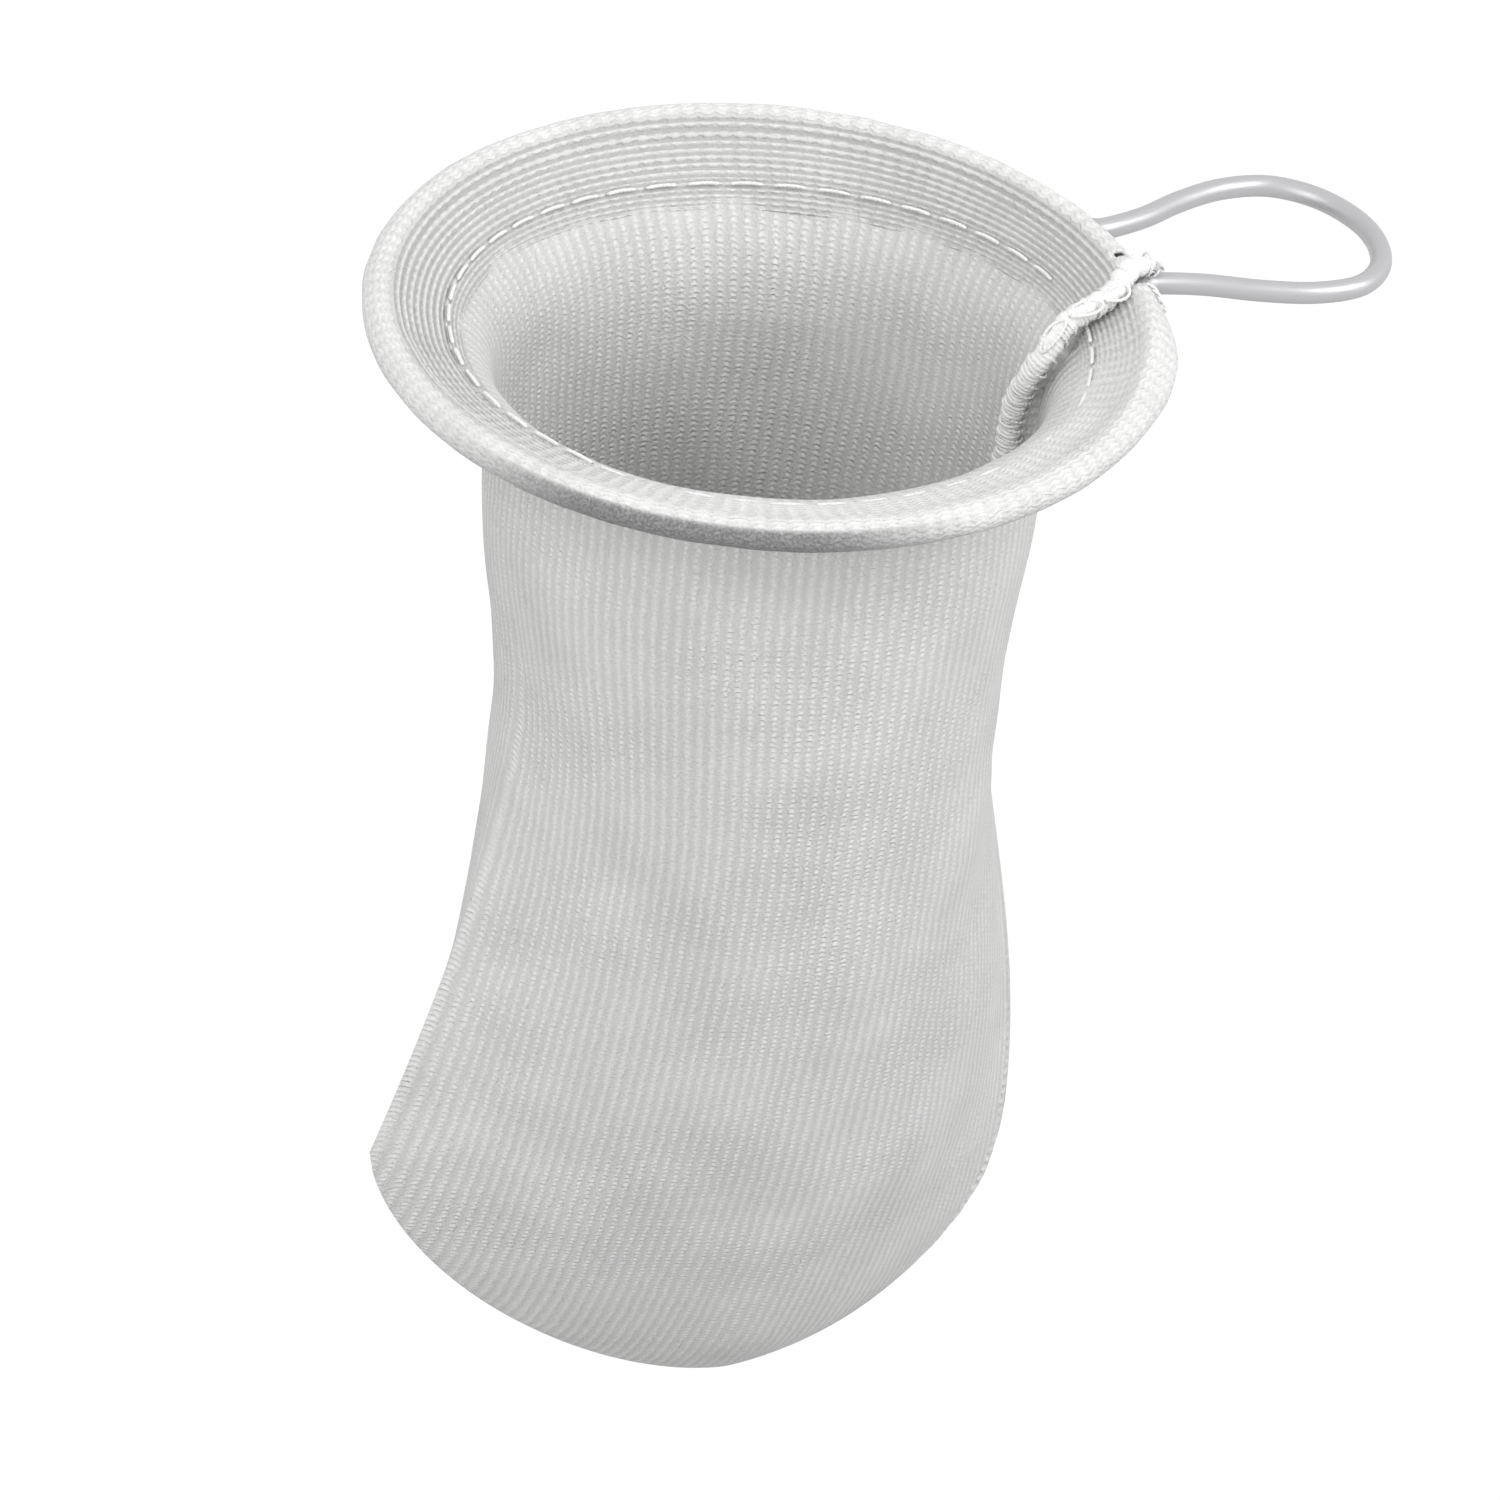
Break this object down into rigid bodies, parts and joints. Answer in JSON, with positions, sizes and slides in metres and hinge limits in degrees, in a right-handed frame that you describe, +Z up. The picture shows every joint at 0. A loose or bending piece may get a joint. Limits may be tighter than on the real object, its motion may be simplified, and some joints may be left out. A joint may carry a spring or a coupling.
{
  "type": "cotton tea filter bag",
  "caption": "Reusable knitted cotton filter bag on a wire ring: it hangs in a pot, holds loose tea or coffee, and is lifted by the finger loop bent from the ring's wire",
  "frame": {"origin": "centre of the wire ring, in the plane of its middle line", "axes": "+Z up, along the ring's axis; +X towards the finger loop and the bag's seam; the bag's fold is at -X"},
  "size_m": [0.1517, 0.1104, 0.1877],
  "materials": {
    "cotton": "undyed, bleached cotton knit with fine vertical wales, matt",
    "wire": "drawn steel wire with a pale satin zinc coat",
    "thread": "white spun polyester sewing thread"
  },
  "bodies": {
    "root": {"cotton_bag": "cotton", "wire_frame": "wire", "overlock_thread": "thread"}
  },
  "joints": []
}
